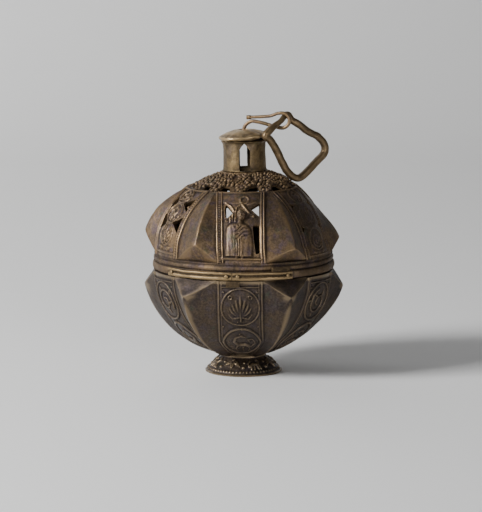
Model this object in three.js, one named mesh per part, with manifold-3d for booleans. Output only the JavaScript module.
// Spherical censer: a cast foot and bowl, a charcoal pan, a pierced lid with a turret and cap,
// and a wire hook that holds a loose suspension ring. Millimetres, +Z up, front towards -Y.
import * as THREE from 'three';
import { mergeVertices } from 'three/addons/utils/BufferGeometryUtils.js';
import Module from 'manifold-3d';

const wasm = await Module();
wasm.setup();

const DEGREE = Math.PI / 180;

// Fits
const clearance = 0.3;
const cutOverrun = 2;
const hollowSides = 40;

// Panels and bosses, shared by bowl and lid
const panelCount = 6;
const sector = 2 * Math.PI / panelCount;
const bossHeight = 6.6;
const bowlPanelTurn = -2.2 * DEGREE;
const bowlBossTurn = -4 * DEGREE;
const bowlPanelHalfWidth = 12.6;
const lidPanelTurn = -1.3 * DEGREE;
const lidBossTurn = 2 * DEGREE;
const lidPanelHalfWidth = 13.2;

// Relief cast on the panels, sunk into the wall under it
const reliefDepth = 0.8;
const ribSlope = 0.35;
const bowlRibWidth = 2.2;
const bowlRibHeight = 0.55;
const lidRibWidth = 3;
const lidRibHeight = 0.75;
const medallionHeight = 0.8;
const medallionRing = 1.6;
const dishHeight = 0.25;
const medallionSides = 10;
const motifHeight = 0.9;
const figureHeight = 1.8;
const foldHeight = 2.1;
const headHeight = 2.7;
const beamHeight = 0.55;
const strapHeight = 1.1;
const headSides = 8;

// Foot
const footRadius = 21.4;
const footHeight = 10.1;
const footEdge = 1.2;
const footNeckRadius = 13.2;
const footWall = 1.9;
const footWeb = 2.5;
const footLobes = 12;
const footLobeDepth = 0.45;
const footColumns = 48;

// Bowl, which stands on the foot's neck
const bowlRadius = 50.6;
const bowlWall = 3.2;
const bowlNeckHeight = 1.05;
const rimDrop = 2;
const bowlTipDrop = 9.7;
const bowlNeckRidge = 1.6;
const bowlPanelMaxAngle = 22 * DEGREE;
const lipHeight = 2.4;
const lipThickness = 1.2;

// Rivet that joins foot and bowl
const rivetRadius = 1.9;
const rivetHeadRadius = 3.6;
const rivetHeadHeight = 1;

// Patch on the bowl's rim
const rimPatchFrom = -10.6 * DEGREE;
const rimPatchTo = -2.4 * DEGREE;
const rimPatchHeight = 3.3;
const rimPatchThickness = 0.8;

// Charcoal pan
const panRadius = 34;
const panWall = 1.3;
const panRestGap = 0.8;
const panFloorGap = 0.5;

// Lid, which sits on the bowl's rim
const lidWall = 2.4;
const collarSetback = 1.06;
const collarBulge = 0.2;
const collarWall = 2;
const collarHeight = 9.2;
const lidCentreDrop = 3.85;
const lidTipLift = 10.1;
const lidRidgeEnd = 52 * DEGREE;
const lidPanelMaxAngle = 25.5 * DEGREE;
const seatRadius = 13.2;
const seatRise = 0.5;
const seatHoleRadius = 9.3;

// The lid was cast a little askew: slopes and shifts of its boss level, its shoulder and its crown
const tipSlopeX = -Math.tan(2.4 * DEGREE);
const tipSlopeY = Math.tan(1.5 * DEGREE);
const tipShift = -0.6;
const shoulderSlopeX = Math.tan(0.7 * DEGREE);
const shoulderShift = -1;
const crownSlopeX = Math.tan(1.5 * DEGREE);
const crownShift = 0.7;

// Strips and pins that close the lid's lower edge
const stripHeight = 4.2;
const stripThickness = 1.2;
const stripGroove = 0.5;
const stripFrom = -53 * DEGREE;
const stripJoint = -7 * DEGREE;
const stripTo = 31 * DEGREE;
const pinRadius = 0.8;
const pinHeadRadius = 1.3;
const pinHeadHeight = 0.5;
const pinInset = 3.4 * DEGREE;
const collarPatchFrom = 17.4 * DEGREE;
const collarPatchTo = 29.6 * DEGREE;
const collarPatchHeight = 2.3;
const collarPatchThickness = 0.8;

// Turret and cap
const turretRadius = 12;
const turretTopRadius = 11.2;
const turretHeight = 17.4;
const turretWall = 2;
const turretMoulding = 0.3;
const tenonLength = 2.8;
const windowWidth = 5.4;
const windowSill = 0.9;
const windowHead = 1.4;
const windowCount = 4;
const capRadius = 14.1;
const capEdgeHeight = 1.1;
const capHeight = 5.9;
const capCove = 2.2;
const capHoleRadius = 2.4;
const spigotLength = 2;
const capTilt = 2 * DEGREE;

// Hook of bent wire
const wireRadius = 1.05;
const hookTipRadius = 1.3;
const hookReach = 26.4;
const hookRise = 10.9;
const hookTurn = -17 * DEGREE;
const hookSides = 8;
const hookSteps = 68;

// Suspension ring
const ringRod = 2.1;
const ringWornRod = 1.45;
const ringWidth = 38.6;
const ringReach = 31;
const ringLidGap = 3.5;
const ringTurn = 31 * DEGREE;
const ringWear = 9;
const ringSides = 10;
const ringSteps = 60;
const crossingShare = 0.82;
const crossingRise = 3.85;

// Colours of the metals
const metals = {
  darkBronze: { color: '#4b3f33', roughness: 0.55, metalness: 0.8 },
  bronze: { color: '#5f5140', roughness: 0.5, metalness: 0.8 },
  paleBronze: { color: '#7a6a48', roughness: 0.45, metalness: 0.85 },
  brass: { color: '#96814f', roughness: 0.4, metalness: 0.9 },
  iron: { color: '#2b2826', roughness: 0.75, metalness: 0.6 },
};

const censer = new THREE.Group();
censer.name = 'censer';

function addPiece(parent, name, geometry, metal) {
  const mesh = new THREE.Mesh(geometry, new THREE.MeshStandardMaterial(metals[metal]));
  mesh.name = name;
  parent.add(mesh);
  return mesh;
}

// Angles are measured about +Z from the front (-Y) towards +X
function polar(angle, radius, height) {
  return new THREE.Vector3(radius * Math.sin(angle), -radius * Math.cos(angle), height);
}

function mixed(from, to, share) {
  return from + (to - from) * share;
}

function onSphere(radius, rise) {
  return Math.sqrt(radius ** 2 - rise ** 2);
}

// A closed skin over loops that all have as many points; open ends get a fan each
function skin(loops, closed) {
  const count = loops[0].length;
  const positions = loops.flat().flatMap((point) => point.toArray());
  const triangles = [];
  const last = closed ? loops.length : loops.length - 1;
  for (let row = 0; row < last; row++) {
    const next = (row + 1) % loops.length;
    for (let column = 0; column < count; column++) {
      const side = (column + 1) % count;
      const a = row * count + column;
      const b = row * count + side;
      const c = next * count + side;
      const d = next * count + column;
      triangles.push(a, b, c, a, c, d);
    }
  }
  if (!closed) {
    for (const row of [0, loops.length - 1]) {
      const centre = loops[row].reduce((sum, point) => sum.add(point), new THREE.Vector3());
      centre.divideScalar(count);
      positions.push(...centre.toArray());
      const hub = positions.length / 3 - 1;
      for (let column = 0; column < count; column++) {
        const a = row * count + column;
        const b = row * count + (column + 1) % count;
        triangles.push(...(row === 0 ? [hub, b, a] : [hub, a, b]));
      }
    }
  }
  const geometry = new THREE.BufferGeometry();
  geometry.setAttribute('position', new THREE.Float32BufferAttribute(positions, 3));
  geometry.setIndex(triangles);
  return facingOut(geometry);
}

// Turns the triangles round if they face into the body
function facingOut(geometry) {
  const place = geometry.getAttribute('position');
  const index = geometry.index.array;
  const [a, b, c] = [new THREE.Vector3(), new THREE.Vector3(), new THREE.Vector3()];
  let volume = 0;
  for (let i = 0; i < index.length; i += 3) {
    a.fromBufferAttribute(place, index[i]);
    b.fromBufferAttribute(place, index[i + 1]);
    c.fromBufferAttribute(place, index[i + 2]);
    volume += a.dot(b.cross(c));
  }
  if (volume < 0) {
    for (let i = 0; i < index.length; i += 3) {
      [index[i], index[i + 1]] = [index[i + 1], index[i]];
    }
  }
  return geometry;
}

// A turned piece from [radius, height] points that close on themselves or start and end on the axis
function turned(outline, segments) {
  const points = outline.map(([radius, height]) => new THREE.Vector2(radius, height));
  const geometry = new THREE.LatheGeometry(points, segments);
  geometry.rotateX(Math.PI / 2);
  return welded(geometry);
}

function welded(geometry) {
  const bare = geometry.index ? geometry.clone() : mergeVertices(geometry);
  bare.deleteAttribute('normal');
  bare.deleteAttribute('uv');
  const merged = mergeVertices(bare, 1e-4);
  const kept = [];
  const index = merged.index.array;
  for (let i = 0; i < index.length; i += 3) {
    const [a, b, c] = [index[i], index[i + 1], index[i + 2]];
    if (a !== b && b !== c && c !== a) kept.push(a, b, c);
  }
  merged.setIndex(kept);
  return facingOut(merged);
}

function toSolid(geometry) {
  const merged = welded(geometry);
  return new wasm.Manifold(new wasm.Mesh({
    numProp: 3,
    vertProperties: new Float32Array(merged.getAttribute('position').array),
    triVerts: new Uint32Array(merged.index.array),
  }));
}

function fromSolid(solid) {
  const mesh = solid.getMesh();
  const geometry = new THREE.BufferGeometry();
  geometry.setAttribute('position', new THREE.Float32BufferAttribute(mesh.vertProperties, 3));
  geometry.setIndex(Array.from(mesh.triVerts));
  return geometry;
}

function cut(geometry, cutters) {
  let solid = toSolid(geometry);
  for (const cutter of cutters) solid = solid.subtract(toSolid(cutter));
  return fromSolid(solid);
}

// Points across a panel as [share of the half width, share of the rib's height]
function panelProfile(halfWidth, ribWidth) {
  const outer = 1 - ribSlope / halfWidth;
  const inner = outer - ribWidth / halfWidth;
  const foot = inner - ribSlope / halfWidth;
  const side = [[1, 0], [outer, 1], [inner, 1], [foot, 0]];
  const other = side.map(([share, raised]) => [-share, raised]);
  return [...other, [0, 0], ...side.reverse()];
}

// One row across a panel, with the ribs along its sides raised by ribHeight
function panelPoints(shell, middle, half, radius, height, ribHeight) {
  return shell.profile.map(([share, raised]) => {
    const growth = 1 + raised * ribHeight / shell.radius;
    return polar(middle + share * half, radius * growth, shell.centre + (height - shell.centre) * growth);
  });
}

// One loop of the panelled body: a row on each panel and three points on each boss, where the bend
// gives the boss's three points from the two panel edges and the boss's own angle
function panelLoop(shell, half, radius, height, ribHeight, bend) {
  const loop = [];
  for (let panel = 0; panel < panelCount; panel++) {
    const middle = shell.turn + panel * sector;
    loop.push(...panelPoints(shell, middle, half, radius, height, ribHeight));
    const next = middle + sector;
    loop.push(...bend([middle + half, next - half], shell.bossTurn + (panel + 0.5) * sector));
  }
  return loop;
}

// Boss points where two facets meet in a ridge
function ridgeBend(radius, height, ridgeRadius, ridgeHeight) {
  return (edges, angle) => {
    const ridge = polar(angle, ridgeRadius, ridgeHeight);
    const [left, right] = edges.map((edge) => polar(edge, radius, height).lerp(ridge, 0.5));
    return [left, ridge, right];
  };
}

// Boss points on the flat triangle between the tip and the corners of the panels beside it
function facetBend(tip, corner, share) {
  return (edges, angle) => {
    const point = polar(angle, tip.radius, tip.height);
    const [left, right] = edges.map((edge) => (
      polar(edge, corner.radius, corner.height).lerp(point, 1 - share)));
    return [left, left.clone().lerp(right, 0.5), right];
  };
}

// One round loop with the same points as a panelled one
function roundLoop(shell, half, radius, height, ribHeight = 0) {
  const loop = [];
  for (let panel = 0; panel < panelCount; panel++) {
    const middle = shell.turn + panel * sector;
    loop.push(...panelPoints(shell, middle, half, radius, height, ribHeight));
    for (const share of [0.25, 0.5, 0.75]) {
      loop.push(polar(middle + half + share * (sector - 2 * half), radius, height));
    }
  }
  return loop;
}

function panelAngle(shell, radius) {
  return Math.min(Math.asin(Math.min(shell.halfWidth / radius, 1)), shell.largestHalf);
}

// A point on a shell's panel: across and along from its rim end, both as shares of the half width
function onShell(shell, panel, acrossShare, alongShare, lift) {
  const rise = shell.start + alongShare * shell.halfWidth / shell.radius;
  const half = panelAngle(shell, shell.radius * Math.cos(rise));
  const reach = shell.radius + lift;
  const angle = shell.turn + panel * sector + acrossShare * half;
  return shell.place(polar(angle, reach * Math.cos(rise), shell.centre + shell.way * reach * Math.sin(rise)));
}

// A point of a field, a part of a panel with a middle and a size
function onField(field, across, along, lift) {
  const [middleAcross, middleAlong] = field.middleShares;
  const [sizeAcross, sizeAlong] = field.sizeShares;
  return onShell(field.shell, field.panel, middleAcross + across * sizeAcross, middleAlong + along * sizeAlong, lift);
}

// A ridge along [across, along, half width] shares of a field
function ridge(field, shares, height, closed = false) {
  const count = shares.length;
  const loops = shares.map(([across, along, width], step) => {
    const before = shares[closed ? (step + count - 1) % count : Math.max(step - 1, 0)];
    const after = shares[closed ? (step + 1) % count : Math.min(step + 1, count - 1)];
    const way = [after[0] - before[0], after[1] - before[1]];
    const scale = width / Math.hypot(...way);
    const beside = (side, lift) => (
      onField(field, across - side * way[1] * scale, along + side * way[0] * scale, lift));
    return [beside(-1, -reliefDepth), beside(0, height), beside(1, -reliefDepth)];
  });
  return skin(loops, closed);
}

// A swelling inside an outline of [across, along] shares of a field, in steps of [share of it, lift]
function swelling(field, outlineShares, steps) {
  return skin(steps.map(([share, lift]) => outlineShares.map(([across, along]) => (
    onField(field, share * across, share * along, lift)))), false);
}

function rounded(height) {
  return [[1, -reliefDepth], [1, 0.45 * height], [0.6, height]];
}

function ovalShares(count) {
  const shares = [];
  for (let step = 0; step < count; step++) {
    const turn = step / count * 2 * Math.PI;
    shares.push([Math.cos(turn), Math.sin(turn)]);
  }
  return shares;
}

// A medallion: a round rib with a dished middle that swells again at its centre
function medallion(field) {
  const width = medallionRing / (field.sizeShares[0] * field.shell.halfWidth);
  const steps = [[1, -reliefDepth], [1 - 0.5 * width, medallionHeight], [1 - width, dishHeight], [0.3, motifHeight]];
  return swelling(field, ovalShares(medallionSides), steps);
}

function join(geometry, pieces) {
  let solid = toSolid(geometry);
  for (const piece of pieces) solid = solid.add(toSolid(piece));
  return fromSolid(solid);
}

// Foot: a hollow lobed flare with a web that the rivet goes through
function footGeometry() {
  const holeRadius = rivetRadius + clearance;
  const outline = [
    [footRadius - footWall, 0],
    [footRadius, 0],
    [footRadius, footEdge],
    [mixed(footNeckRadius, footRadius, 0.88), mixed(footEdge, footHeight, 0.12)],
    [mixed(footNeckRadius, footRadius, 0.52), mixed(footEdge, footHeight, 0.42)],
    [mixed(footNeckRadius, footRadius, 0.18), mixed(footEdge, footHeight, 0.68)],
    [footNeckRadius, mixed(footEdge, footHeight, 0.86)],
    [footNeckRadius, footHeight],
    [holeRadius, footHeight],
    [holeRadius, footHeight - footWeb],
    [footNeckRadius - footWall, footHeight - footWeb],
    [mixed(footNeckRadius, footRadius, 0.52) - footWall, mixed(footEdge, footHeight, 0.36)],
    [mixed(footNeckRadius, footRadius, 0.88) - footWall, footEdge],
  ];
  const lobedShares = [0, 0, 0, 0.6, 1, 0.7, 0, 0, 0, 0, 0, 0, 0];
  const loops = outline.map(([radius, height], row) => {
    const loop = [];
    for (let column = 0; column < footColumns; column++) {
      const angle = column / footColumns * 2 * Math.PI;
      const lobe = footLobeDepth * lobedShares[row] * Math.cos(footLobes * angle);
      loop.push(polar(angle, radius + lobe, height));
    }
    return loop;
  });
  return skin(loops, true);
}

// Bowl: six panels on a sphere, with a faceted boss between each two
const bowlCentre = footHeight + bowlNeckHeight + onSphere(bowlRadius, footNeckRadius);
const rimHeight = bowlCentre - rimDrop;
const rimRadius = onSphere(bowlRadius, rimDrop);
const collarRadius = rimRadius - collarSetback;
const bowlTipReach = bowlRadius + bossHeight;
const bowlTipRise = Math.asin((rimDrop + bowlTipDrop) / bowlTipReach);
const bowlNeckRise = Math.acos(footNeckRadius / bowlRadius);
const bowlRimRise = Math.asin(rimDrop / bowlRadius);
const bowlInnerRadius = bowlRadius - bowlWall;
const lipOuterRadius = collarRadius - collarWall - clearance;
const bowlSeat = footHeight + clearance;
const bowlShell = {
  radius: bowlRadius,
  centre: bowlCentre,
  way: -1,
  start: bowlRimRise,
  turn: bowlPanelTurn,
  bossTurn: bowlBossTurn,
  halfWidth: bowlPanelHalfWidth,
  largestHalf: bowlPanelMaxAngle,
  profile: panelProfile(bowlPanelHalfWidth, bowlRibWidth),
  place: (point) => point,
};
const bowlTip = { radius: bowlTipReach * Math.cos(bowlTipRise), height: bowlCentre - rimDrop - bowlTipDrop };
const bowlCorner = { radius: rimRadius, height: rimHeight };

function bowlRow(rise, ribHeight = bowlRibHeight) {
  const radius = bowlRadius * Math.cos(rise);
  const height = bowlCentre - bowlRadius * Math.sin(rise);
  const half = panelAngle(bowlShell, radius);
  if (rise < bowlTipRise) {
    const share = (bowlTipRise - rise) / (bowlTipRise - bowlRimRise);
    return panelLoop(bowlShell, half, radius, height, ribHeight, facetBend(bowlTip, bowlCorner, share));
  }
  const share = (rise - bowlTipRise) / (bowlNeckRise - bowlTipRise);
  const reach = mixed(bowlTipReach, bowlRadius + bowlNeckRidge, share);
  return panelLoop(bowlShell, half, radius, height, ribHeight,
    ridgeBend(radius, height, reach * Math.cos(rise), bowlCentre - reach * Math.sin(rise)));
}

// Two medallions on each bowl panel
const bowlMedallionShares = [
  { middleShares: [0.05, 1.33], sizeShares: [0.74, 0.89] },
  { middleShares: [0.03, 3.49], sizeShares: [0.72, 1.05] },
];

function bowlRelief() {
  const pieces = [];
  for (let panel = 0; panel < panelCount; panel++) {
    for (const shares of bowlMedallionShares) pieces.push(medallion({ shell: bowlShell, panel, ...shares }));
  }
  return pieces;
}

function bowlGeometry() {
  const holeRadius = rivetRadius + clearance;
  const rimHalf = panelAngle(bowlShell, bowlRadius);
  const round = (radius, height) => roundLoop(bowlShell, rimHalf, radius, height);
  const loops = [round(footNeckRadius, bowlSeat), bowlRow(bowlNeckRise, 0)];
  for (const share of [0.04, 0.2, 0.4, 0.6, 0.8, 1]) {
    loops.push(bowlRow(mixed(bowlNeckRise, bowlTipRise, share)));
  }
  for (const share of [0.5, 0.9]) loops.push(bowlRow(mixed(bowlTipRise, bowlRimRise, share)));
  loops.push(bowlRow(bowlRimRise, 0), round(lipOuterRadius, rimHeight), round(lipOuterRadius, rimHeight + lipHeight));
  return cut(join(skin(loops, false), bowlRelief()), [bowlHollow(lipOuterRadius - lipThickness, holeRadius)]);
}

// The bowl's hollow, with the lip's bore above and the rivet's hole below
function bowlHollow(lipRadius, holeRadius) {
  const top = rimHeight + lipHeight + cutOverrun;
  const bottom = bowlSeat - cutOverrun;
  const innerRows = 6;
  const innerTop = Math.asin((bowlCentre - rimHeight + bowlWall) / bowlInnerRadius);
  const innerBottom = Math.acos(rivetHeadRadius / bowlInnerRadius);
  const outline = [[0, top], [lipRadius, top], [lipRadius, rimHeight]];
  for (let row = 0; row <= innerRows; row++) {
    const rise = mixed(innerTop, innerBottom, row / innerRows);
    outline.push([bowlInnerRadius * Math.cos(rise), bowlCentre - bowlInnerRadius * Math.sin(rise)]);
  }
  outline.push([holeRadius, bowlCentre - bowlInnerRadius * Math.sin(innerBottom)], [holeRadius, bottom], [0, bottom]);
  return turned(outline, hollowSides);
}

const bowlFloor = bowlCentre - onSphere(bowlInnerRadius, rivetHeadRadius);

// Rivet with a head under the foot's web and one on the bowl's floor
function rivetGeometry() {
  const bottom = footHeight - footWeb - clearance;
  const top = bowlFloor + clearance;
  return turned([
    [0, bottom - rivetHeadHeight],
    [0.7 * rivetHeadRadius, bottom - 0.8 * rivetHeadHeight],
    [rivetHeadRadius, bottom],
    [rivetRadius, bottom],
    [rivetRadius, top],
    [rivetHeadRadius, top],
    [0.7 * rivetHeadRadius, top + 0.8 * rivetHeadHeight],
    [0, top + rivetHeadHeight],
  ], 24);
}

// A plate bent round the axis: outline points of [radius, height], swept from one angle to another
function bentPlate(outline, from, to, steps) {
  const loops = [];
  for (let step = 0; step <= steps; step++) {
    const angle = mixed(from, to, step / steps);
    loops.push(outline.map(([radius, height]) => polar(angle, radius, height)));
  }
  return skin(loops, false);
}

function rimPatchGeometry() {
  const bottom = rimHeight - rimPatchHeight;
  const upper = onSphere(bowlRadius, bowlCentre - rimHeight) + clearance;
  const lower = onSphere(bowlRadius, bowlCentre - bottom) + clearance;
  return bentPlate([
    [lower, bottom],
    [lower + rimPatchThickness, bottom],
    [upper + rimPatchThickness, rimHeight],
    [upper, rimHeight],
  ], rimPatchFrom, rimPatchTo, 3);
}

// Charcoal pan: a thin iron dish that follows the bowl's floor
function panGeometry() {
  const outer = bowlInnerRadius - panRestGap;
  const inner = outer - panWall;
  const floor = bowlFloor + clearance + rivetHeadHeight + panFloorGap;
  const floorRise = Math.asin((bowlCentre - floor) / outer);
  const innerFloorRise = Math.asin((bowlCentre - floor - panWall) / inner);
  const rimRise = Math.acos(panRadius / outer);
  const outline = [[0, floor]];
  const rows = 4;
  for (let row = 0; row <= rows; row++) {
    const rise = mixed(floorRise, rimRise, row / rows);
    outline.push([outer * Math.cos(rise), bowlCentre - outer * Math.sin(rise)]);
  }
  for (let row = rows; row >= 0; row--) {
    const rise = mixed(innerFloorRise, rimRise, row / rows);
    outline.push([inner * Math.cos(rise), bowlCentre - inner * Math.sin(rise)]);
  }
  outline.push([0, floor + panWall]);
  return turned(outline, 32);
}

// Lid: a round collar, then panels and bosses on a sphere, a pierced crown and a seat for the turret
const collarBottom = rimHeight + clearance;
const collarTop = collarBottom + collarHeight;
const lidCentre = collarTop - lidCentreDrop;
const lidRadius = Math.hypot(collarRadius, lidCentreDrop);
const lidTipHeight = collarTop + lidTipLift;
const seatHeight = lidCentre + onSphere(lidRadius, seatRadius) + seatRise;
const crownStart = mixed(lidTipHeight, seatHeight, 0.75);

// Where a point of the true lid lies on the lid as it was cast
const askewRows = [
  { height: collarTop, slopeX: 0, slopeY: 0, shift: 0 },
  { height: lidTipHeight, slopeX: tipSlopeX, slopeY: tipSlopeY, shift: tipShift },
  { height: crownStart, slopeX: shoulderSlopeX, slopeY: 0, shift: shoulderShift },
  { height: seatHeight - tenonLength - clearance, slopeX: crownSlopeX, slopeY: 0, shift: crownShift },
];

function askew(point) {
  const found = askewRows.findIndex((row) => row.height >= point.z);
  const next = found < 0 ? askewRows.length - 1 : Math.max(found, 1);
  const [low, high] = [askewRows[next - 1], askewRows[next]];
  const share = Math.min(Math.max((point.z - low.height) / (high.height - low.height), 0), 1);
  const slopeX = mixed(low.slopeX, high.slopeX, share);
  const slopeY = mixed(low.slopeY, high.slopeY, share);
  const shift = mixed(low.shift, high.shift, share);
  return new THREE.Vector3(point.x + shift, point.y, point.z + slopeX * point.x + slopeY * point.y);
}

const lidTipReach = lidRadius + bossHeight;
const lidTipRise = Math.asin((lidTipHeight - lidCentre) / lidTipReach);
const lidCollarRise = Math.asin((collarTop - lidCentre) / lidRadius);
const lidSeatRise = Math.acos(seatRadius / lidRadius);
const lidInnerRadius = lidRadius - lidWall;
const lidShell = {
  radius: lidRadius,
  centre: lidCentre,
  way: 1,
  start: lidCollarRise,
  turn: lidPanelTurn,
  bossTurn: lidBossTurn,
  halfWidth: lidPanelHalfWidth,
  largestHalf: lidPanelMaxAngle,
  profile: panelProfile(lidPanelHalfWidth, lidRibWidth),
  place: askew,
};
const lidTip = { radius: lidTipReach * Math.cos(lidTipRise), height: lidTipHeight };
const lidCorner = { radius: collarRadius, height: collarTop };

function lidRow(rise, ribHeight) {
  const radius = lidRadius * Math.cos(rise);
  const height = lidCentre + lidRadius * Math.sin(rise);
  const half = panelAngle(lidShell, radius);
  if (rise >= lidRidgeEnd) return roundLoop(lidShell, half, radius, height, ribHeight);
  if (rise < lidTipRise) {
    const share = (lidTipRise - rise) / (lidTipRise - lidCollarRise);
    return panelLoop(lidShell, half, radius, height, ribHeight, facetBend(lidTip, lidCorner, share));
  }
  const reach = mixed(lidTipReach, lidRadius, (rise - lidTipRise) / (lidRidgeEnd - lidTipRise));
  return panelLoop(lidShell, half, radius, height, ribHeight,
    ridgeBend(radius, height, reach * Math.cos(rise), lidCentre + reach * Math.sin(rise)));
}

// A cutter that goes through the lid's wall: a flat shape laid on the sphere at an angle and a rise
function wallCutter(shape, angle, rise) {
  const depth = lidWall + 2 * cutOverrun;
  const geometry = new THREE.ExtrudeGeometry(shape, { depth, bevelEnabled: false });
  const across = polar(angle + Math.PI / 2, 1, 0);
  const outward = polar(angle, Math.cos(rise), Math.sin(rise));
  const up = outward.clone().cross(across);
  const place = new THREE.Matrix4().makeBasis(across, up, outward);
  const start = outward.clone().multiplyScalar(lidInnerRadius - cutOverrun);
  place.setPosition(start.x, start.y, start.z + lidCentre);
  geometry.applyMatrix4(place);
  return leaned(geometry);
}

// Moves a cutter made for the true lid to the lid as it was cast
function leaned(geometry) {
  const points = geometry.getAttribute('position');
  for (let i = 0; i < points.count; i++) {
    const moved = askew(new THREE.Vector3().fromBufferAttribute(points, i));
    points.setXYZ(i, moved.x, moved.y, moved.z);
  }
  return geometry;
}

function polygon(points) {
  return new THREE.Shape(points.map(([x, y]) => new THREE.Vector2(x, y)));
}

// Smoke openings. Figure panels lie opposite each other, and the front one has one door
const figurePanels = [0, 3];
const doorSides = { 0: [1], 3: [-1, 1] };
const figureTriangle = { width: 4.8, height: 7 };
const figureTriangleRise = 39 * DEGREE;
const figureTriangleShare = 0.62;
const doorSlot = { width: 3.8, height: 15.5 };
const doorSlotRise = 20.5 * DEGREE;
const doorSlotShare = 0.64;
const spandrel = { width: 4.6, height: 6.4 };
const spandrelPlaces = [[43 * DEGREE, 0.56], [27.5 * DEGREE, 0.62]];
const crownHole = { width: 3.6, height: 3.4 };
const crownHoles = 12;
const crownHoleRise = 60.5 * DEGREE;

// Relief of the lid: three medallions on a scroll panel, a robed figure under a beam on the others
const lidMedallionShares = [
  { middleShares: [0, 0.94], sizeShares: [0.48, 0.47] },
  { middleShares: [0, 1.96], sizeShares: [0.5, 0.5] },
  { middleShares: [0, 2.97], sizeShares: [0.46, 0.42] },
];
const figureShares = {
  0: { middleShares: [-0.1, 1.14], sizeShares: [0.58, 0.8] },
  3: { middleShares: [0, 1.14], sizeShares: [0.48, 0.8] },
};
const headShares = { middleShares: [-0.03, 2.14], sizeShares: [0.17, 0.23] };
const beamShares = { middleShares: [0, 3.1], sizeShares: [0.72, 0.32] };
const wholePanelShares = { middleShares: [0, 0], sizeShares: [1, 1] };
const beamCornerShares = [[-1, -1], [0, -1], [1, -1], [1, 1], [0, 1], [-1, 1]];
const robeShares = [[0, -1], [1, -1], [0.9, 0.2], [0.4, 0.96], [-0.4, 0.96], [-0.9, 0.2], [-1, -1]];
const foldShares = [
  [[-0.4, -0.8, 0.14], [-0.34, 0, 0.1]],
  [[0.3, -0.8, 0.14], [0.26, 0, 0.1]],
];
const strapShares = [
  [[0.07, 2.73, 0.1], [-0.42, 2.05, 0.1]],
  [[0.03, 2.76, 0.1], [0.65, 2.06, 0.1]],
];
const ledgeShares = [[-0.72, 0.2, 0.1], [0, 0.2, 0.1], [0.72, 0.2, 0.1]];
const bandShares = [[-0.95, 3.38, 0.08], [-0.5, 3.38, 0.08], [0, 3.38, 0.08], [0.5, 3.38, 0.08], [0.95, 3.38, 0.08]];

function figureRelief(panel) {
  const figure = { shell: lidShell, panel, ...figureShares[panel] };
  const head = { shell: lidShell, panel, ...headShares };
  const beam = { shell: lidShell, panel, ...beamShares };
  const whole = { shell: lidShell, panel, ...wholePanelShares };
  return [
    swelling(figure, robeShares, rounded(figureHeight)),
    ...foldShares.map((fold) => ridge(figure, fold, foldHeight)),
    swelling(head, ovalShares(headSides), rounded(headHeight)),
    swelling(beam, beamCornerShares, rounded(beamHeight)),
    ...strapShares.map((strap) => ridge(whole, strap, strapHeight)),
    ridge(whole, ledgeShares, strapHeight),
  ];
}

function lidRelief() {
  const pieces = [];
  for (let panel = 0; panel < panelCount; panel++) {
    const whole = { shell: lidShell, panel, ...wholePanelShares };
    pieces.push(ridge(whole, bandShares, medallionHeight));
    if (figurePanels.includes(panel)) {
      pieces.push(...figureRelief(panel));
      continue;
    }
    for (const shares of lidMedallionShares) pieces.push(medallion({ shell: lidShell, panel, ...shares }));
  }
  return pieces;
}

function triangleShape(size, side) {
  return polygon([
    [-side * size.width / 2, -size.height / 2],
    [side * size.width / 2, 0],
    [-side * size.width / 2, size.height / 2],
  ]);
}

function slotShape(size) {
  return polygon([
    [-size.width / 2, -size.height / 2],
    [size.width / 2, -size.height / 2],
    [size.width / 2, mixed(-size.height, size.height, 0.85) / 2],
    [0, size.height / 2],
    [-size.width / 2, mixed(-size.height, size.height, 0.85) / 2],
  ]);
}

function crownShape(size) {
  return polygon([
    [-size.width / 2, -size.height / 2],
    [size.width / 2, -size.height / 2],
    [0, size.height / 2],
  ]);
}

function lidCutters() {
  const cutters = [];
  const addCutter = (shape, middle, side, share, rise) => {
    const across = side * share * lidPanelHalfWidth / (lidRadius * Math.cos(rise));
    cutters.push(wallCutter(shape, middle + across, rise));
  };
  for (let panel = 0; panel < panelCount; panel++) {
    const middle = lidPanelTurn + panel * sector;
    const figurePanel = figurePanels.includes(panel);
    for (const side of [-1, 1]) {
      if (figurePanel) {
        addCutter(triangleShape(figureTriangle, -side), middle, side, figureTriangleShare, figureTriangleRise);
      } else {
        for (const [rise, share] of spandrelPlaces) {
          addCutter(triangleShape(spandrel, -side), middle, side, share, rise);
        }
      }
    }
    for (const side of figurePanel ? doorSides[panel] : []) {
      addCutter(slotShape(doorSlot), middle, side, doorSlotShare, doorSlotRise);
    }
  }
  for (let hole = 0; hole < crownHoles; hole++) {
    const angle = lidPanelTurn + (hole + 0.5) * 2 * Math.PI / crownHoles;
    cutters.push(wallCutter(crownShape(crownHole), angle, crownHoleRise));
  }
  return cutters;
}

const stripMiddle = collarBottom + stripHeight / 2;
const stripInner = collarRadius + collarBulge + clearance;
const stripOuter = stripInner + stripThickness;
const pinAngles = [stripFrom + pinInset, stripJoint - pinInset, stripJoint + pinInset, stripTo - pinInset];

// A round cutter or pin that points out from the axis at an angle and a height
function radialPiece(outline, angle, height, segments) {
  const geometry = turned(outline, segments);
  geometry.rotateX(Math.PI / 2);
  geometry.rotateZ(angle);
  geometry.translate(0, 0, height);
  return geometry;
}

function pinHole(angle) {
  const from = collarRadius - collarWall - cutOverrun;
  const to = stripOuter + cutOverrun;
  const radius = pinRadius + clearance;
  return radialPiece([[0, from], [radius, from], [radius, to], [0, to]], angle, stripMiddle, 12);
}

function pinGeometry(angle) {
  const from = collarRadius - collarWall + clearance;
  const head = stripOuter + clearance;
  return radialPiece([
    [0, from],
    [pinRadius, from],
    [pinRadius, head],
    [pinHeadRadius, head],
    [0.7 * pinHeadRadius, head + 0.8 * pinHeadHeight],
    [0, head + pinHeadHeight],
  ], angle, stripMiddle, 12);
}

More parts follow.
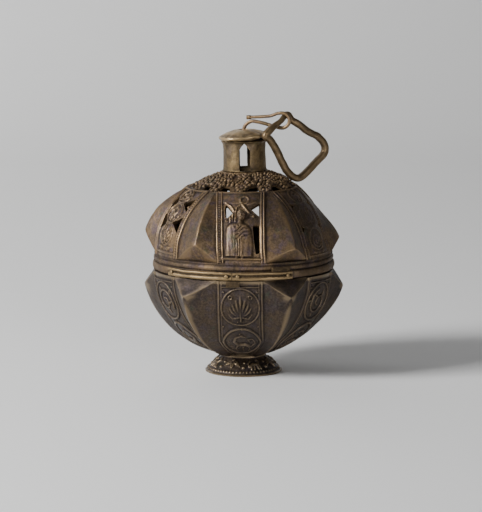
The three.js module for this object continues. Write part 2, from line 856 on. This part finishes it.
function lidGeometry() {
  const half = panelAngle(lidShell, lidRadius);
  const round = (radius, height) => roundLoop(lidShell, half, radius, height);
  const loops = [
    round(collarRadius, collarBottom),
    round(collarRadius + collarBulge, mixed(collarBottom, collarTop, 0.5)),
    lidRow(lidCollarRise, 0),
  ];
  for (const share of [0.12, 0.5]) loops.push(lidRow(mixed(lidCollarRise, lidTipRise, share), lidRibHeight));
  const sideRows = 5;
  for (let row = 0; row <= sideRows; row++) {
    loops.push(lidRow(mixed(lidTipRise, lidRidgeEnd, row / sideRows), lidRibHeight));
  }
  loops.push(lidRow(mixed(lidRidgeEnd, lidSeatRise, 0.1), lidRibHeight));
  for (const share of [0.25, 0.6, 1]) loops.push(lidRow(mixed(lidRidgeEnd, lidSeatRise, share), 0));
  loops.push(round(seatRadius, seatHeight));
  const skewed = loops.map((loop) => loop.map(askew));
  return cut(join(skin(skewed, false), lidRelief()), [lidHollow(), ...lidCutters(), ...pinAngles.map(pinHole)]);
}

// The lid's hollow, with the turret's hole above
function lidHollow() {
  const top = seatHeight + cutOverrun;
  const bottom = collarBottom - cutOverrun;
  const innerRows = 6;
  const innerSeatRise = Math.acos(seatHoleRadius / lidInnerRadius);
  const innerCollarRise = Math.asin((collarTop - lidCentre) / lidInnerRadius);
  const outline = [[0, top], [seatHoleRadius, top]];
  for (let row = 0; row <= innerRows; row++) {
    const rise = mixed(innerSeatRise, innerCollarRise, row / innerRows);
    outline.push([lidInnerRadius * Math.cos(rise), lidCentre + lidInnerRadius * Math.sin(rise)]);
  }
  outline.push([collarRadius - collarWall, bottom], [0, bottom]);
  return leaned(turned(outline, hollowSides));
}

// Strip with a ridge along each edge and a groove between
function stripGeometry(from, to) {
  const top = collarBottom + stripHeight;
  const plate = bentPlate([
    [stripInner, collarBottom],
    [stripOuter, collarBottom],
    [stripOuter, mixed(collarBottom, top, 0.3)],
    [stripOuter - stripGroove, mixed(collarBottom, top, 0.42)],
    [stripOuter - stripGroove, mixed(collarBottom, top, 0.6)],
    [stripOuter, mixed(collarBottom, top, 0.75)],
    [stripOuter, top],
    [stripInner, top],
  ], from, to, 10);
  return cut(plate, pinAngles.filter((angle) => angle > from && angle < to).map(pinHole));
}

function collarPatchGeometry() {
  const bottom = collarBottom + stripHeight + clearance;
  return bentPlate([
    [stripInner, bottom],
    [stripInner + collarPatchThickness, bottom],
    [stripInner + collarPatchThickness, bottom + collarPatchHeight],
    [stripInner, bottom + collarPatchHeight],
  ], collarPatchFrom, collarPatchTo, 4);
}

// Turret: a short tube with four pointed windows and a tenon in the lid's seat
function turretGeometry() {
  const tenonRadius = seatHoleRadius - clearance;
  const tube = turned([
    [tenonRadius - turretWall, -tenonLength],
    [tenonRadius, -tenonLength],
    [tenonRadius, 0],
    [turretRadius + turretMoulding, 0],
    [turretRadius + turretMoulding, 0.07 * turretHeight],
    [turretRadius, 0.1 * turretHeight],
    [turretTopRadius, 0.88 * turretHeight],
    [turretTopRadius + turretMoulding, 0.92 * turretHeight],
    [turretTopRadius + turretMoulding, turretHeight],
    [turretTopRadius - turretWall, turretHeight],
    [turretRadius - turretWall - turretMoulding, 0.07 * turretHeight],
    [tenonRadius - turretWall, 0],
    [tenonRadius - turretWall, -tenonLength],
  ], 32);
  const windowTop = turretHeight - windowHead;
  const shape = polygon([
    [-windowWidth / 2, windowSill],
    [windowWidth / 2, windowSill],
    [windowWidth / 2, windowTop - 0.7 * windowWidth],
    [0, windowTop],
    [-windowWidth / 2, windowTop - 0.7 * windowWidth],
  ]);
  const depth = 2 * (turretRadius + turretMoulding + cutOverrun);
  const cutters = [];
  for (let pair = 0; pair < windowCount / 2; pair++) {
    const cutter = new THREE.ExtrudeGeometry(shape, { depth, bevelEnabled: false });
    cutter.translate(0, 0, -depth / 2);
    cutter.rotateX(Math.PI / 2);
    cutter.rotateZ(pair * Math.PI / 2);
    cutters.push(cutter);
  }
  return cut(tube, cutters);
}

// Cap: a domed disc over a cove, with a spigot in the turret and a hole for the hook
function capGeometry() {
  const spigotRadius = turretTopRadius - turretWall - clearance;
  const throat = turretTopRadius + turretMoulding / 2;
  return turned([
    [capHoleRadius, capCove + 0.3 * capEdgeHeight],
    [spigotRadius - lipThickness, capCove - 0.3 * capEdgeHeight],
    [spigotRadius - lipThickness, -spigotLength],
    [spigotRadius, -spigotLength],
    [spigotRadius, 0],
    [throat, 0],
    [mixed(throat, capRadius, 0.15), 0.45 * capCove],
    [mixed(throat, capRadius, 0.6), 0.85 * capCove],
    [capRadius, capCove],
    [capRadius, capCove + capEdgeHeight],
    [0.8 * capRadius, mixed(capCove + capEdgeHeight, capHeight, 0.45)],
    [0.5 * capRadius, mixed(capCove + capEdgeHeight, capHeight, 0.82)],
    [capHoleRadius + clearance, capHeight],
    [capHoleRadius, capHeight - clearance],
    [capHoleRadius, capCove + 0.3 * capEdgeHeight],
  ], 32);
}

// A bar of changing radius along a curve
function bar(curve, steps, sides, radiusAt, closed) {
  const frames = curve.computeFrenetFrames(steps, closed);
  const loops = [];
  const rows = closed ? steps : steps + 1;
  for (let row = 0; row < rows; row++) {
    const centre = curve.getPointAt(row / steps);
    const radius = radiusAt(row / steps, centre);
    const loop = [];
    for (let side = 0; side < sides; side++) {
      const turn = side / sides * 2 * Math.PI;
      loop.push(centre.clone()
        .addScaledVector(frames.normals[row], radius * Math.cos(turn))
        .addScaledVector(frames.binormals[row], radius * Math.sin(turn)));
    }
    loops.push(loop);
  }
  return skin(loops, closed);
}

// Hook route as [reach share, rise share] from the middle of the cap's top
const hookRouteShares = [
  [0.08, 0.475], [0.32, 0.515], [0.58, 0.575], [0.77, 0.725], [0.9, 0.715], [0.98, 0.56],
  [1, 0.375], [0.975, 0.165], [0.9, 0.015], [0.81, -0.01], [0.6, 0.1], [0.47, 0.185],
  [0.3, 0.265], [0.193, 0.29], [0.115, 0.21], [0.06, 0.11], [0.03, 0], [0.01, -0.14],
  [0, -0.3], [0, -0.43], [0.02, -0.54], [0.07, -0.6], [0.135, -0.58],
];

function hookGeometry() {
  const points = hookRouteShares.map(([reach, rise]) => new THREE.Vector3(reach * hookReach, 0, rise * hookRise));
  const curve = new THREE.CatmullRomCurve3(points);
  const tipShare = 0.03;
  const radiusAt = (share) => (share < tipShare ? hookTipRadius : wireRadius);
  return bar(curve, hookSteps, hookSides, radiusAt, false);
}

// Ring route as [along share, rise share, aside share] from where it goes through the hook
const ringRouteShares = [
  [0.12, 0.09, 0.025], [0.197, -0.005, 0.02], [0.3, -0.075, 0], [0.45, -0.19, 0], [0.62, -0.28, 0],
  [0.735, -0.42, 0], [0.735, -0.53, 0], [0.6, -0.665, 0], [0.45, -0.805, 0], [0.315, -0.9, 0],
  [0.225, -0.89, 0], [0.095, -0.775, 0], [0, -0.605, 0], [-0.075, -0.455, 0], [-0.195, -0.275, 0],
  [-0.262, -0.222, 0], [-0.205, -0.152, 0], [-0.1, -0.07, 0], [0, 0, 0],
];

function ringGeometry(ringHeight) {
  const points = ringRouteShares.map(([along, rise, aside]) =>
    new THREE.Vector3(along * ringWidth, aside * ringWidth, rise * ringHeight));
  const curve = new THREE.CatmullRomCurve3(points, true);
  const radiusAt = (share, centre) => {
    const away = Math.min(centre.length() / ringWear, 1);
    return mixed(ringWornRod, ringRod, away ** 2);
  };
  return bar(curve, ringSteps, ringSides, radiusAt, true);
}

// Assembly
addPiece(censer, 'foot', footGeometry(), 'darkBronze');
addPiece(censer, 'bowl', bowlGeometry(), 'darkBronze');
addPiece(censer, 'foot_rivet', rivetGeometry(), 'bronze');
addPiece(censer, 'rim_patch', rimPatchGeometry(), 'brass');
addPiece(censer, 'charcoal_pan', panGeometry(), 'iron');
addPiece(censer, 'lid', lidGeometry(), 'bronze');
addPiece(censer, 'seam_strip_left', stripGeometry(stripFrom, stripJoint - clearance / collarRadius), 'brass');
addPiece(censer, 'seam_strip_right', stripGeometry(stripJoint, stripTo), 'brass');
addPiece(censer, 'collar_patch', collarPatchGeometry(), 'brass');
pinAngles.forEach((angle, pin) => addPiece(censer, `strip_pin_${pin + 1}`, pinGeometry(angle), 'brass'));

const turretGroup = new THREE.Group();
turretGroup.position.set(crownShift, 0, seatHeight + clearance);
turretGroup.rotation.y = -Math.atan(crownSlopeX);
censer.add(turretGroup);
addPiece(turretGroup, 'turret', turretGeometry(), 'paleBronze');

const capGroup = new THREE.Group();
const capLift = clearance + (turretTopRadius + turretMoulding) * Math.tan(capTilt);
capGroup.position.set(0, 0, turretHeight + capLift);
capGroup.rotation.y = -capTilt;
turretGroup.add(capGroup);
addPiece(capGroup, 'turret_cap', capGeometry(), 'bronze');

// The hook turns about the upright line through the cap's hole
censer.updateMatrixWorld(true);
const hookGroup = new THREE.Group();
hookGroup.position.copy(capGroup.localToWorld(new THREE.Vector3(0, 0, capHeight)));
hookGroup.rotation.z = hookTurn;
censer.add(hookGroup);
addPiece(hookGroup, 'hook_wire', hookGeometry(), 'bronze');

// The ring hangs down to just above the lid
const ringLowShare = 0.9;
const crossingHeight = hookGroup.position.z + crossingRise;
const ringLow = lidCentre + onSphere(lidRadius, ringReach) + ringLidGap + ringRod;
const ringHeight = (crossingHeight - ringLow) / ringLowShare;
const ringGroup = new THREE.Group();
ringGroup.position.copy(hookGroup.position)
  .add(new THREE.Vector3(crossingShare * hookReach, 0, crossingRise).applyEuler(hookGroup.rotation));
ringGroup.rotation.z = ringTurn;
censer.add(ringGroup);
addPiece(ringGroup, 'suspension_ring', ringGeometry(ringHeight), 'paleBronze');

export default censer;
